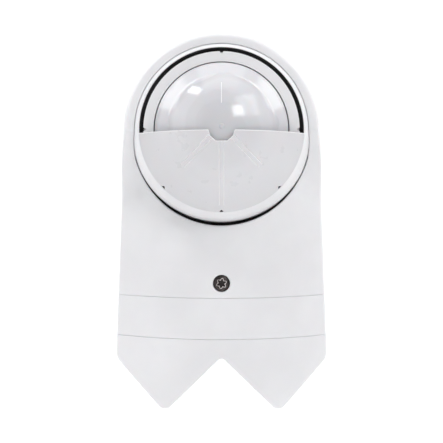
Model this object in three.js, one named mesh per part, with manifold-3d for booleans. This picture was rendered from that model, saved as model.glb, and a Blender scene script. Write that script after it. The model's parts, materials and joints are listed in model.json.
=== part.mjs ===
// A wall-mounted outdoor motion sensor: an arched housing with a bowed front and a double-pointed lower edge,
// and a ball head on a two-axis joint, with a domed lens and a half mask that turns over it.
//
// Units are millimetres. X points right, Y points into the wall (the front is -Y) and Z points up.
// The origin is on the face that lies on the wall. Depths named p run forward, so p = -y.

import * as THREE from "three";
import { mergeVertices } from "three/addons/utils/BufferGeometryUtils.js";
import Module from "manifold-3d";

const wasm = await Module();
wasm.setup();

// ---------------------------------------------------------------- driving dimensions

// Housing outline, seen from the front
const ARCH_R = 40.8;
const SIDES = 48; // facets round the head and its socket, and round the full circle of the arch
const CORNER = { x: 44.4, z: -57, round: 2.4 };
const POINT = { x: 23.6, z: -78.9, round: 3.6 };
const NOTCH = { z: -55.6, round: 2 };

// Housing front and levels
const FRONT_Y = -44; // the bowed front at mid-width
const FRONT_R = 100;
const WALL = 2.6;
const PLATE = 3; // thickness of the back plate
const RIM_Y = -7.6; // front of the back plate's rim
const SEAL = 0.8;
const COVER_Y = -8.5; // rear edge of the three covers
const UPPER_SEAM = -31.1; // between front cover and control band
const LOWER_SEAM = -47.9; // between control band and chin cover
const SEAM_GAP = 0.3;
const BEYOND = 120; // past every surface of the housing

// Ball head, its depths measured forward from the ball's centre
const HEAD_Y = -38;
const HEAD_Z = 36.6;
const BALL = { r: 37, inner: 34.8, front: 16.8, rear: -19.6, split: 0.1 };
const SOCKET = { r: 37.5, outer: 40.3, lip: 12.2, root: -9 };
const CHEEK = { top: 0, length: 27, p: -2.4 }; // the hood's run down beside the ball
const MOUTH = { r: 37.2, drop: 1.3, below: 8 };
const SOCKET_SEAL = { r0: 37.35, r1: 38.9, p0: -3, p1: -0.3 };
const GROOVE = { r0: 31.05, r1: 32.75 };
const SHELF = { r: 27.5, p0: 8.1, p1: 10.1 };
const FRAME = { r: 33.1, p0: 6.1, p1: 8, screws: 30 };
const RING = { bore: 26.95, skirt: 29.6, step: 15.4, front: 17.2 };
const LENS = { flange: 29.3, wall: 26.5, base: 17.5, step: 21.4, rise: 21.9, apex: 30.2, skin: 0.9 };
const MASK = { r0: 31.35, r1: 32.2, p0: 14.3, base: 17.6, apex: 31.9, skin: 0.9, hole: 5.9, edge: -1.5 };
const MASK_LIP = { r: 33.05, p0: 16.87, p1: 17.05 }; // it covers the groove's outer edge
const SCORES = [-45, 0, 45]; // degrees from straight down, where the mask is scored

// Two-axis joint at the ball's centre
const CROSS = { half: 4, pin: 2, reach: 7.8 };
const JOINT_ARM = { from: 4.6, to: 8, half: 3, bore: 2.1 };
const POST = { foot: 11.2, stem: 6, bore: 2.2, mouth: -10.5, screws: [-8.6, 8.6] };

// Electronics in the lower housing
const BOARD = { x: 27, top: -6, bottom: -49.6, p0: 14, p1: 15.6 };
const ON_BOARD = BOARD.p1 + 0.05;
const BOARD_HOLES = [
  [-24, -9.5],
  [24, -9.5],
  [-24, -46],
  [24, -46],
];
const COVER_SCREW = { z: -25.4, head: 3.4, pocket: 3.75 };
const DIALS = { light_level: -17, on_time: 0, range: 17 };
const DIAL = { z: -36.2, knob: 4.5, shaft: 1.5, bore: 1.6, rear: 33.4, front: 36.9 };
const POLES = [-10.5, -3.5, 3.5, 10.5];
const TERMINALS = { x: 14.3, z0: -49.2, z1: -41.6, front: 27, z: -45.4 };
const CABLES = { left: -23, right: 23 };
const CABLE = { z: -60, hole: 6.2, bore: 3.2 };
const WALL_SLOTS = [
  [-33.5, -12],
  [33.5, -12],
  [-33.5, -44],
  [33.5, -44],
];
const PLUG = { x: 11, z: -5.6, p: 19 };

// ---------------------------------------------------------------- materials

const finish = (color, roughness, metalness = 0) =>
  () => new THREE.MeshStandardMaterial({ color, roughness, metalness });
const WHITE = finish(0xe9e9ec, 0.3);
const LENS_WHITE = finish(0xdedfe3, 0.35);
const FROSTED = finish(0xe2e2e6, 0.4);
const RUBBER = finish(0x161617, 0.8);
const STEEL = finish(0xb9babd, 0.3, 1);
const DARK_STEEL = finish(0x4b4747, 0.35, 1);
const BOARD_GREEN = finish(0x1f5a34, 0.5);
const BLACK = finish(0x202124, 0.5);
const BLUE = finish(0x2c5f9e, 0.45);
const YELLOW = finish(0xcfae3a, 0.5);
const ORANGE = finish(0xd0682a, 0.5);
const RED = finish(0xb3262a, 0.3);

// ---------------------------------------------------------------- solids

// A three.js geometry as a manifold-3d solid with its faces pointing out.
function solid(geometry) {
  const bare = geometry.index ? geometry.toNonIndexed() : geometry.clone();
  bare.deleteAttribute("normal");
  bare.deleteAttribute("uv");
  const merged = mergeVertices(bare, 1e-4);
  const index = merged.index.array;
  const corners = [];
  for (let i = 0; i < index.length; i += 3) {
    const [a, b, c] = [index[i], index[i + 1], index[i + 2]];
    if (a !== b && b !== c && c !== a) corners.push([a, b, c]);
  }
  const build = (triangles) =>
    new wasm.Manifold(
      new wasm.Mesh({
        numProp: 3,
        vertProperties: merged.attributes.position.array,
        triVerts: new Uint32Array(triangles.flat()),
      }),
    );
  const made = build(corners);
  return made.volume() > 0 ? made : build(corners.map(([a, b, c]) => [a, c, b]));
}

function geometryOf(shape) {
  const mesh = shape.getMesh();
  const geometry = new THREE.BufferGeometry();
  geometry.setAttribute("position", new THREE.BufferAttribute(mesh.vertProperties, 3));
  geometry.setIndex(new THREE.BufferAttribute(mesh.triVerts, 1));
  geometry.computeVertexNormals();
  return geometry;
}

const union = (...shapes) => shapes.reduce((all, next) => all.add(next));
const cut = (shape, ...tools) => tools.reduce((left, tool) => left.subtract(tool), shape);
const moved = (shape, x, y, z) => shape.translate([x, y, z]);
const atHead = (shape) => moved(shape, 0, HEAD_Y, HEAD_Z);
const degrees = THREE.MathUtils.degToRad;

function box(x0, x1, y0, y1, z0, z1) {
  const geometry = new THREE.BoxGeometry(x1 - x0, y1 - y0, z1 - z0);
  return solid(geometry.translate((x0 + x1) / 2, (y0 + y1) / 2, (z0 + z1) / 2));
}

// A round bar along the depth, from depth p0 forward to depth p1.
function bar(r, p0, p1, x = 0, z = 0, sides = 16) {
  const geometry = new THREE.CylinderGeometry(r, r, p1 - p0, sides);
  return solid(geometry.translate(x, -(p0 + p1) / 2, z));
}

function upright(r, z0, z1, x = 0, y = 0, sides = 16) {
  const geometry = new THREE.CylinderGeometry(r, r, z1 - z0, sides);
  return solid(geometry.rotateX(Math.PI / 2).translate(x, y, (z0 + z1) / 2));
}

function crossbar(r, x0, x1, y = 0, z = 0, sides = 16) {
  const geometry = new THREE.CylinderGeometry(r, r, x1 - x0, sides);
  return solid(geometry.rotateZ(Math.PI / 2).translate((x0 + x1) / 2, y, z));
}

// A solid of revolution about the depth axis from [radius, depth] pairs.
function turned(profile, sides = SIDES) {
  const points = profile.map(([r, p]) => new THREE.Vector2(r, -p));
  return solid(new THREE.LatheGeometry(points, sides));
}

function tube(r0, r1, p0, p1, sides = SIDES) {
  return turned([[r0, p0], [r1, p0], [r1, p1], [r0, p1], [r0, p0]], sides);
}

// [radius, depth] pairs on the circle of radius r about [0, centre], from depth p0 to depth p1.
function arc(r, p0, p1, steps, centre = 0) {
  const a0 = Math.asin((p0 - centre) / r);
  const a1 = Math.asin((p1 - centre) / r);
  const pairs = [];
  for (let i = 0; i <= steps; i++) {
    const a = a0 + ((a1 - a0) * i) / steps;
    pairs.push([r * Math.cos(a), centre + r * Math.sin(a)]);
  }
  return pairs;
}

// A dome from its base circle [r, base] up to its apex on the axis, as [radius, depth] pairs.
function dome(r, base, apex, steps) {
  const rise = apex - base;
  const radius = (r * r + rise * rise) / (2 * rise);
  const pairs = arc(radius, base, apex, steps, apex - radius);
  pairs[steps] = [0, apex];
  return pairs;
}

function sphere(r, rows = 24) {
  return turned([[0, -r], ...arc(r, -r, r, rows).slice(1, -1), [0, r]]);
}

// A closed outline of points, extruded along Z.
function extruded(points, depth) {
  return new THREE.ExtrudeGeometry(new THREE.Shape(points), { depth, bevelEnabled: false });
}

// A closed outline of [x, z] pairs, extruded from depth p0 forward to depth p1.
function prism(pairs, p0, p1) {
  const geometry = extruded(pairs.map(([x, z]) => new THREE.Vector2(x, z)), p1 - p0);
  return solid(geometry.rotateX(Math.PI / 2).translate(0, -p0, 0));
}

// A round rod of radius r through [x, y, z] points.
function rod(r, points, steps, sides = 8) {
  const path = new THREE.CatmullRomCurve3(points.map((p) => new THREE.Vector3(...p)));
  const section = new THREE.Shape();
  section.absarc(0, 0, r, 0, 2 * Math.PI, false);
  const options = { steps, extrudePath: path, curveSegments: sides / 2, bevelEnabled: false };
  return solid(new THREE.ExtrudeGeometry(section, options));
}

// A slotted pan-head screw that faces forward, with the underside of its head at depth 0.
function screw({ shank, length, head, tall }) {
  const profile = [
    [0, -length],
    [shank, -length],
    [shank, 0],
    [head, 0],
    [head * 0.9, tall],
    [0, tall],
  ];
  const slot = box(-head - 1, head + 1, -tall - 1, -tall * 0.45, -0.35, 0.35);
  return turned(profile, 12).subtract(slot);
}

// ---------------------------------------------------------------- housing outline

const toCorner = new THREE.Vector2(CORNER.x, CORNER.z - HEAD_Z);
const TANGENT = toCorner.angle() - 2 * Math.PI + Math.acos(ARCH_R / toCorner.length());

// Where the outline turns below the arch, from left to right, moved in by inset.
function turns(inset) {
  const start = [ARCH_R * Math.cos(TANGENT), HEAD_Z + ARCH_R * Math.sin(TANGENT)];
  const right = [start, [CORNER.x, CORNER.z], [POINT.x, POINT.z], [0, NOTCH.z]];
  const left = right.slice(0, 3).map(([x, z]) => [-x, z]);
  const path = [...left, ...right.reverse()].map(([x, z]) => new THREE.Vector2(x, z));
  const inward = (a, b) => {
    const along = b.clone().sub(a).normalize();
    return new THREE.Vector2(-along.y, along.x);
  };
  return path.slice(1, -1).map((corner, i) => {
    const before = inward(path[i], corner);
    const after = inward(corner, path[i + 2]);
    return corner.clone().addScaledVector(before.clone().add(after), inset / (1 + before.dot(after)));
  });
}

// The corner of the path from a to c at b, rounded off over the given length of each side.
function rounded(a, b, c, length) {
  const towards = (other) =>
    b.clone().addScaledVector(other.clone().sub(b).normalize(), length);
  const curve = new THREE.QuadraticBezierCurve(towards(a), b, towards(c));
  return curve.getPoints(3).map((v) => [v.x, v.y]);
}

// The housing's outline, moved in by inset: an arch, two sides and the double-pointed lower edge.
function outline(inset = 0) {
  const r = ARCH_R - inset;
  const onArch = (a) => [r * Math.cos(a), HEAD_Z + r * Math.sin(a)];
  const arch = [onArch(TANGENT)];
  for (let i = 1; i < SIDES / 2; i++) arch.push(onArch((2 * Math.PI * i) / SIDES));
  arch.push(onArch(Math.PI - TANGENT));
  const ends = [arch[arch.length - 1], arch[0]].map(([x, z]) => new THREE.Vector2(x, z));
  const corners = turns(inset);
  const path = [ends[0], ...corners, ends[1]];
  const convex = (round) => Math.max(round - inset, 0.6);
  const rounds = [
    convex(CORNER.round),
    convex(POINT.round),
    NOTCH.round + inset,
    convex(POINT.round),
    convex(CORNER.round),
  ];
  const lower = corners.map((corner, i) => rounded(path[i], corner, path[i + 2], rounds[i]));
  return [...arch, ...lower.flat()];
}

// Everything behind the housing's bowed front, moved in by inset.
function behindFront(inset = 0) {
  return upright(FRONT_R - inset, -BEYOND, BEYOND, 0, FRONT_Y + FRONT_R, 120);
}

const level = (z0, z1) => box(-BEYOND, BEYOND, -BEYOND, BEYOND, z0, z1);
const filled = (inset, rear = -COVER_Y) =>
  prism(outline(inset), rear, BEYOND).intersect(behindFront(inset));
const shell = filled(0).subtract(filled(WALL, 0));

// A band that reaches up behind the seam at height z and closes it from inside.
function seamLip(z) {
  const foot = filled(WALL - 0.1).intersect(level(z - 2.4, z - 0.6));
  const tongue = filled(WALL + 0.2).intersect(level(z - 2.4, z + 1));
  return union(foot, tongue).subtract(filled(WALL + 1.4, 0));
}

// ---------------------------------------------------------------- housing parts

// The rounded arch in front of the ball's equator. Beside the ball it runs down along the housing's sides as
// two cheeks, and sinks into the bowed front.
function hood() {
  const { lip, root } = SOCKET;
  const profile = [
    [34, root],
    [ARCH_R - 0.5, root],
    ...arc(ARCH_R - 0.02, 0, lip - 2, 4),
    [39.2, lip - 1.1],
    [38.6, lip - 0.4],
    [37.8, lip],
    [36.9, lip - 0.1],
    [36.2, lip - 0.5],
    [34, lip - 2.6],
    [34, root],
  ];
  const outside = profile.slice(1, 10);
  const section = [[30, root], ...outside, [30, lip]].map(([r, p]) => new THREE.Vector2(r, -p));
  const downward = new THREE.Matrix4().makeBasis(
    new THREE.Vector3(Math.cos(TANGENT), 0, Math.sin(TANGENT)),
    new THREE.Vector3(0, 1, 0),
    new THREE.Vector3(Math.sin(TANGENT), 0, -Math.cos(TANGENT)),
  );
  const cheek = (side) => {
    const geometry = extruded(section, CHEEK.length).applyMatrix4(downward);
    return solid(geometry.scale(side, 1, 1));
  };
  const slope = [
    [1 - root, -CHEEK.length],
    [1 - root, BEYOND],
    [-lip - 1, BEYOND],
    [-lip - 1, CHEEK.top + 2],
    [-lip, CHEEK.top],
    [-CHEEK.p, 1 - CHEEK.length],
  ];
  const across = new THREE.Matrix4().makeBasis(
    new THREE.Vector3(0, 1, 0),
    new THREE.Vector3(0, 0, 1),
    new THREE.Vector3(1, 0, 0),
  );
  const keep = extruded(slope.map(([y, z]) => new THREE.Vector2(y, z)), 2 * BEYOND);
  const arch = turned(profile).intersect(level(ARCH_R * Math.sin(TANGENT) - 0.5, BEYOND));
  const kept = moved(solid(keep.applyMatrix4(across)), -BEYOND, 0, 0);
  return union(arch, cheek(1), cheek(-1)).intersect(kept);
}

function frontCover() {
  const aboveHead = box(-BEYOND, BEYOND, -BEYOND, HEAD_Y, HEAD_Z, BEYOND);
  const socket = atHead(bar(SOCKET.outer, 0, BEYOND, 0, 0, SIDES)).intersect(filled(0));
  const walls = union(shell, socket)
    .intersect(level(UPPER_SEAM + SEAM_GAP / 2, BEYOND))
    .subtract(aboveHead);
  const mouth = bar(MOUTH.r, 0, BEYOND, 0, -MOUTH.drop, SIDES);
  const sealSeat = bar(SOCKET_SEAL.r1 + 0.3, SOCKET_SEAL.p0 - 0.3, 0, 0, 0, SIDES);
  const opened = cut(
    union(walls, atHead(hood())),
    atHead(sphere(SOCKET.r)),
    atHead(sealSeat),
    atHead(mouth.intersect(level(-BEYOND, -MOUTH.below))),
  );
  const { z, pocket } = COVER_SCREW;
  const boss = bar(4.4, -FRONT_Y - 8, -FRONT_Y - 1, 0, z);
  const way = bar(2.1, 0, BEYOND, 0, z);
  return cut(opened.add(boss), way, bar(pocket, -FRONT_Y - 2.4, BEYOND, 0, z, 32));
}

function controlBand() {
  const band = shell.intersect(level(LOWER_SEAM + SEAM_GAP / 2, UPPER_SEAM - SEAM_GAP / 2));
  return band.add(seamLip(UPPER_SEAM));
}

function chinCover() {
  return shell.intersect(level(-BEYOND, LOWER_SEAM - SEAM_GAP / 2)).add(seamLip(LOWER_SEAM));
}

function coverSeal() {
  const p = -RIM_Y + 0.04;
  return prism(outline(0.5), p, p + SEAL).subtract(prism(outline(WALL - 0.3), 0, BEYOND));
}

function socketSeal() {
  const { r0, r1, p0, p1 } = SOCKET_SEAL;
  return atHead(tube(r0, r1, p0, p1));
}

function coverScrew() {
  const { head, z } = COVER_SCREW;
  const profile = [
    [0, -14],
    [1.2, -14],
    [1.75, -12.8],
    [1.75, 0],
    [head, 0],
    [head, 1],
    [head * 0.92, 1.6],
    [head * 0.65, 2],
    [0, 2.1],
  ];
  const lobes = [];
  for (let a = 0; a < 360; a += 10) {
    const r = 1.8 + 0.35 * Math.cos(degrees(6 * a));
    lobes.push([r * Math.cos(degrees(a)), r * Math.sin(degrees(a))]);
  }
  const recess = prism(lobes, 0.6, 5).subtract(bar(0.55, 0, 1.8, 0, 0, 8));
  return moved(turned(profile, 24).subtract(recess), 0, FRONT_Y + 2.35, z);
}

function backPlate() {
  const rim = prism(outline(), 0, -RIM_Y).subtract(prism(outline(WALL), PLATE, BEYOND));
  const standOff = ([x, z]) =>
    bar(3, PLATE - 1, BOARD.p0 - 0.05, x, z).subtract(bar(1.3, PLATE, BEYOND, x, z, 12));
  const pillarEnd = -FRONT_Y - 8.4;
  const pillar = bar(4.2, PLATE - 1, pillarEnd, 0, COVER_SCREW.z);
  const pillarBore = bar(1.9, pillarEnd - 9, BEYOND, 0, COVER_SCREW.z, 12);
  const cableHoles = Object.values(CABLES).map((x) => bar(CABLE.hole, -1, 10, x, CABLE.z, 24));
  const slots = WALL_SLOTS.map(([x, z]) => box(x - 2.5, x + 2.5, -10, 1, z - 4.5, z + 4.5));
  const postBores = POST.screws.map((x) => bar(1.3, 0.6, 10, x, HEAD_Z, 12));
  const plate = union(rim, ...BOARD_HOLES.map(standOff), pillar);
  return cut(plate, pillarBore, ...cableHoles, ...slots, ...postBores);
}

function cableGrommet(x) {
  const { hole, bore } = CABLE;
  const profile = [
    [bore, 0.4],
    [hole - 0.2, 0.4],
    [hole - 0.2, PLATE + 0.1],
    [hole + 1.6, PLATE + 0.1],
    [hole + 1.6, PLATE + 1.6],
    [bore + 0.7, PLATE + 4],
    [bore, PLATE + 4],
    [bore, 0.4],
  ];
  return moved(turned(profile, 20), x, 0, CABLE.z);
}

// ---------------------------------------------------------------- joint parts

// The post's fork holds the cross by its upright pins, and the head's lead runs out through its bore.
function swivelPost() {
  const { foot, stem, bore, mouth } = POST;
  const { from, to, half } = JOINT_ARM;
  const rear = HEAD_Y + PLATE + 0.05;
  const prong = (z0, z1) => {
    const arm = union(box(-half, half, 0, 3 - mouth, z0, z1), upright(half, z0, z1));
    return arm.subtract(upright(JOINT_ARM.bore, z0 - 1, z1 + 1));
  };
  const body = union(
    bar(foot, rear, rear + PLATE, 0, 0, 32),
    bar(stem, rear, mouth - 3, 0, 0, 20),
    box(-stem * 0.8, stem * 0.8, -mouth, 4 - mouth, -to, to),
    prong(from, to),
    prong(-to, -from),
  );
  const way = bar(bore, -BEYOND, 0, 0, 0, 12);
  const entry = box(-1.6, 1.6, -rear - 2.6, 1 - rear, -foot - 1, 0);
  const relief = box(-1.6, 1.6, -rear - 7, 1 - rear, -stem - 1.6, 0);
  const holes = POST.screws.map((x) => bar(1.4, -BEYOND, rear + 5, x, 0, 12));
  return atHead(cut(body, way, entry, relief, ...holes));
}

function postScrew(x) {
  const made = screw({ shank: 1.2, length: 5, head: 2.2, tall: 1.5 });
  return moved(made, x, -2 * PLATE - 0.1, HEAD_Z);
}

function swivelCross() {
  const { half, pin, reach } = CROSS;
  const block = box(-half, half, -half, half, -half, half);
  return atHead(union(block, upright(pin, -reach, reach), crossbar(pin, -reach, reach)));
}

// ---------------------------------------------------------------- head parts

const FRAME_SCREWS = [90, 210, 330].map((a) => [
  FRAME.screws * Math.cos(degrees(a)),
  FRAME.screws * Math.sin(degrees(a)),
]);

function ballFront() {
  const { r, inner, front, split } = BALL;
  const outside = arc(r, split, front, 4);
  const profile = [
    ...outside,
    [GROOVE.r1, front],
    [GROOVE.r1, SHELF.p1],
    [SHELF.r, SHELF.p1],
    [SHELF.r, SHELF.p0],
    ...arc(inner, SHELF.p0, split, 2),
    outside[0],
  ];
  const holes = FRAME_SCREWS.map(([x, z]) => bar(1.3, 0, 14, x, z, 12));
  return atHead(cut(turned(profile), ...holes));
}

function ballRear() {
  const { r, inner, rear, split } = BALL;
  const outside = arc(r, rear, -split, 4);
  const profile = [
    ...outside,
    [34.3, -split],
    [34.3, 2.6],
    [33.2, 2.6],
    [33.2, -2.2],
    ...arc(inner, -3, (rear * inner) / r, 3),
    outside[0],
  ];
  return atHead(turned(profile, 36));
}

// The frame inside the ball, with the two arms that hang on the cross.
function headFrame() {
  const { r, p0, p1 } = FRAME;
  const { from, to, half, bore } = JOINT_ARM;
  const arm = (x0, x1) => {
    const web = union(box(x0, x1, -p0 - 0.5, 0, -half, half), crossbar(half, x0, x1));
    return web.subtract(crossbar(bore, x0 - 1, x1 + 1));
  };
  const body = union(bar(r, p0, p1, 0, 0, 48), arm(from, to), arm(-to, -from));
  const holes = FRAME_SCREWS.map(([x, z]) => bar(1.4, 0, 14, x, z, 12));
  const leadHole = bar(2.5, 0, 14, 0, -12);
  return atHead(cut(body, leadHole, ...holes));
}

function frameScrew([x, z]) {
  const made = screw({ shank: 1.15, length: 3.8, head: 2.1, tall: 1.4 });
  return atHead(moved(made.rotate([0, 0, 180]), x, 0.05 - FRAME.p0, z));
}

function lensRing() {
  const { bore, skirt, step, front } = RING;
  const rear = SHELF.p1 + 0.05;
  const profile = [
    [skirt, rear],
    [GROOVE.r0, rear],
    [GROOVE.r0, front],
    [bore, front],
    [bore, step],
    [skirt, step],
    [skirt, rear],
  ];
  const nick = prism([[-2.2, 33], [0, 29.9], [2.2, 33]], MASK.p0, 30);
  const nicks = [0, 90, 180, 270].map((a) => nick.rotate([0, a, 0]));
  return atHead(cut(turned(profile), ...nicks));
}

function lensGasket() {
  return atHead(tube(GROOVE.r0 + 0.1, GROOVE.r1 - 0.05, SHELF.p1 + 0.05, MASK.p0 - 0.3));
}

function fresnelLens() {
  const { flange, wall, base, step, rise, apex, skin } = LENS;
  const rear = SHELF.p1 + 0.1;
  const profile = [
    [wall - skin, rear],
    [flange, rear],
    [flange, rear + 1.2],
    [wall, rear + 1.2],
    [wall, base],
    [step + 0.6, rise - 0.5],
    [step, rise],
    ...dome(step - 0.2, rise + 0.3, apex, 5),
    ...dome(step - 0.9, rise - 0.3, apex - skin, 5).reverse(),
    [wall - skin, base - 0.4],
    [wall - skin, rear],
  ];
  return atHead(turned(profile));
}

// The half mask: a dome over the lens with its skirt in the groove and a thin lip over the groove's
// edge, scored where it can be cut smaller.
function lensMask() {
  const { r0, r1, p0, base, apex, skin, hole, edge } = MASK;
  const profile = [
    ...dome(r1, base, apex, 7),
    ...dome(r0, base - 0.3, apex - skin, 7).reverse(),
    [r0, p0],
    [r1, p0],
    [r1, MASK_LIP.p0],
    [MASK_LIP.r, MASK_LIP.p0],
    [MASK_LIP.r, MASK_LIP.p1],
    [r1 + 0.6, MASK_LIP.p1 + 0.2],
    [r1, base],
  ];
  const deep = 0.35;
  const floor = dome(r1, base - deep, apex - deep, 7);
  const above = turned([...floor, [0, 50], [r1, 50], floor[0]]);
  const strip = box(-0.85, 0.85, -BEYOND, 0, -26, -MASK.hole - 1.2);
  const nick = prism([[-0.8, -BEYOND], [-0.8, -32.6], [0, -31.9], [0.8, -32.6], [0.8, -BEYOND]], p0 - 1, 50);
  const scores = SCORES.map((a) => above.intersect(strip.rotate([0, a, 0])));
  const nicks = SCORES.map((a) => nick.rotate([0, a, 0]));
  const half = turned(profile).intersect(level(-BEYOND, edge));
  return atHead(cut(half, bar(hole, 0, BEYOND, 0, 0, 14), ...scores, ...nicks));
}

const SENSOR_FACE = FRAME.p1 + 1.65;

function sensorBoard() {
  return atHead(bar(26.5, FRAME.p1 + 0.05, SENSOR_FACE, 0, 0, 48));
}

function infraredSensor() {
  const p = SENSOR_FACE + 0.05;
  const profile = [[0, p], [5, p], [5, p + 0.5], [4.5, p + 0.5], [4.5, p + 4.2], [0, p + 4.2]];
  return atHead(turned(profile, 24).subtract(box(-2.3, 2.3, -BEYOND, -p - 3.6, -1.8, 1.8)));
}

function sensorWindow() {
  const p = SENSOR_FACE + 3.7;
  return atHead(box(-2.1, 2.1, -p - 0.5, -p, -1.6, 1.6));
}

function lightSensor() {
  return atHead(bar(2.5, SENSOR_FACE + 0.05, SENSOR_FACE + 2.2, 9, 9));
}

function indicator() {
  const p = SENSOR_FACE + 0.05;
  const profile = [[0, p], [1.5, p], ...dome(1.5, p + 3, p + 4.5, 3)];
  return atHead(moved(turned(profile, 12), -9, 0, 9));
}

// ---------------------------------------------------------------- electronics

function mainBoard() {
  const { x, top, bottom, p0, p1 } = BOARD;
  const holes = BOARD_HOLES.map(([hx, hz]) => bar(1.6, 0, 20, hx, hz, 12));
  const pillarHole = bar(4.8, 0, 20, 0, COVER_SCREW.z, 24);
  return cut(box(-x, x, -p1, -p0, bottom, top), pillarHole, ...holes);
}

function boardScrew([x, z]) {
  const made = screw({ shank: 1.2, length: 7, head: 2.3, tall: 1.6 });
  return moved(made, x, -ON_BOARD, z);
}

function terminalBlock() {
  const { x, z0, z1, z, front } = TERMINALS;
  const bores = POLES.flatMap((px) => [
    bar(1.45, front - 8.2, BEYOND, px, z, 12),
    bar(2.4, front - 3.1, BEYOND, px, z, 12),
    upright(1.6, z0 - 1, z, px, 9.2 - front, 8),
  ]);
  return cut(box(-x, x, -front, -ON_BOARD, z0, z1), ...bores);
}

function terminalScrew(x) {
  const made = screw({ shank: 1.35, length: 4.6, head: 2.2, tall: 1.5 });
  return moved(made, x, 3.05 - TERMINALS.front, TERMINALS.z);
}

function relay() {
  const [x0, x1, z0, z1] = [6.4, 25.6, -30, -14.6];
  const body = box(x0, x1, -ON_BOARD - 15.5, -ON_BOARD, z0, z1);
  return body.subtract(box(x0 + 1.5, x0 + 3, -BEYOND, -ON_BOARD - 15, z0 + 1.5, z0 + 3));
}

function filmCapacitor() {
  return box(-26, -13.4, -ON_BOARD - 11, -ON_BOARD, -30, -13);
}

function electrolyticCapacitor() {
  const p = ON_BOARD;
  const profile = [[0, p], [5, p], [5, p + 1], [4.7, p + 1.5], [5, p + 2], [5, p + 16], [0, p + 16]];
  return moved(turned(profile, 20), -6.5, 0, -13);
}

function varistor() {
  const disc = upright(3.6, -46.4, -43.4, -18, -ON_BOARD - 4.6);
  return disc.add(box(-20, -16, -ON_BOARD - 3, -ON_BOARD, -45.4, -44.4));
}

function fuse() {
  return bar(3, ON_BOARD, ON_BOARD + 8, 18, -44.6);
}

function leadSocket() {
  const { x, z, p } = PLUG;
  const body = box(x - 4, x + 4, -p - 3.2, -ON_BOARD, z - 7.4, z - 1.8);
  return body.subtract(box(x - 3, x + 3, -p - 2.2, -p + 2.2, z - 4.9, z));
}

// The head's lead, from its plug on the main board up behind the ball and out to the mouth of the post.
function headLead() {
  const { x, z, p } = PLUG;
  const plug = box(x - 2.8, x + 2.8, -p - 2, -p + 2, z - 4.7, z);
  const path = [
    [x, -p, z - 1],
    [x, -p + 0.5, z + 3],
    [x * 0.8, -9, 4],
    [x * 0.3, -4.7, 14],
    [0, -4.4, 22],
    [0, -4.5, HEAD_Z - 8],
    [0, -6, HEAD_Z - 3],
    [0, -10, HEAD_Z - 0.4],
    [0, -15, HEAD_Z],
    [0, HEAD_Y - POST.mouth + 0.5, HEAD_Z],
  ];
  return plug.add(rod(0.9, path, 24));
}

function adjuster(x) {
  const { z, bore } = DIAL;
  const body = box(x - 4.75, x + 4.75, -ON_BOARD - 6, -ON_BOARD, z - 4.75, z + 4.75);
  return body.subtract(bar(bore, ON_BOARD + 1.8, BEYOND, x, z));
}

function dial(x) {
  const { z, knob, shaft, rear, front } = DIAL;
  const body = bar(shaft, ON_BOARD + 2, rear + 1).add(bar(knob, rear, front, 0, 0, 20));
  const slot = box(-0.6, 0.6, -front - 1, -front + 1.2, -knob * 0.72, knob * 0.72);
  const pointer = prism([[-1, knob + 1], [0, knob - 1.1], [1, knob + 1]], rear - 1, front + 1);
  return moved(cut(body, slot, pointer), x, 0, z);
}

// ---------------------------------------------------------------- assembly

const group = new THREE.Group();
group.name = "motion_sensor";

function add(name, shape, material) {
  const mesh = new THREE.Mesh(geometryOf(shape), material());
  mesh.name = name;
  group.add(mesh);
}

add("back_plate", backPlate(), WHITE);
add("cover_seal", coverSeal(), RUBBER);
add("front_cover", frontCover(), WHITE);
add("control_band", controlBand(), WHITE);
add("chin_cover", chinCover(), WHITE);
add("cover_screw", coverScrew(), DARK_STEEL);
add("socket_seal", socketSeal(), RUBBER);
for (const [side, x] of Object.entries(CABLES)) add(`cable_grommet_${side}`, cableGrommet(x), RUBBER);

add("swivel_post", swivelPost(), BLACK);
POST.screws.forEach((x, i) => add(`post_screw_${i + 1}`, postScrew(x), STEEL));
add("swivel_cross", swivelCross(), BLACK);

add("ball_front", ballFront(), WHITE);
add("ball_rear", ballRear(), WHITE);
add("head_frame", headFrame(), BLACK);
FRAME_SCREWS.forEach((place, i) => add(`frame_screw_${i + 1}`, frameScrew(place), STEEL));
add("lens_ring", lensRing(), WHITE);
add("lens_gasket", lensGasket(), RUBBER);
add("fresnel_lens", fresnelLens(), LENS_WHITE);
add("lens_mask", lensMask(), FROSTED);
add("sensor_board", sensorBoard(), BOARD_GREEN);
add("infrared_sensor", infraredSensor(), STEEL);
add("sensor_window", sensorWindow(), BLACK);
add("light_sensor", lightSensor(), ORANGE);
add("indicator", indicator(), RED);

add("main_board", mainBoard(), BOARD_GREEN);
BOARD_HOLES.forEach((place, i) => add(`board_screw_${i + 1}`, boardScrew(place), STEEL));
add("terminal_block", terminalBlock(), BLACK);
POLES.forEach((x, i) => add(`terminal_screw_${i + 1}`, terminalScrew(x), STEEL));
add("relay", relay(), BLUE);
add("film_capacitor", filmCapacitor(), YELLOW);
add("electrolytic_capacitor", electrolyticCapacitor(), BLACK);
add("varistor", varistor(), BLUE);
add("fuse", fuse(), BLACK);
add("lead_socket", leadSocket(), WHITE);
add("head_lead", headLead(), WHITE);
for (const [name, x] of Object.entries(DIALS)) {
  add(`${name}_adjuster`, adjuster(x), BLUE);
  add(`${name}_dial`, dial(x), ORANGE);
}

export default group;
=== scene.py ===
import json
import math

import bmesh
import bpy
import numpy as np
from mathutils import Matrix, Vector
from mathutils.geometry import delaunay_2d_cdt


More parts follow.
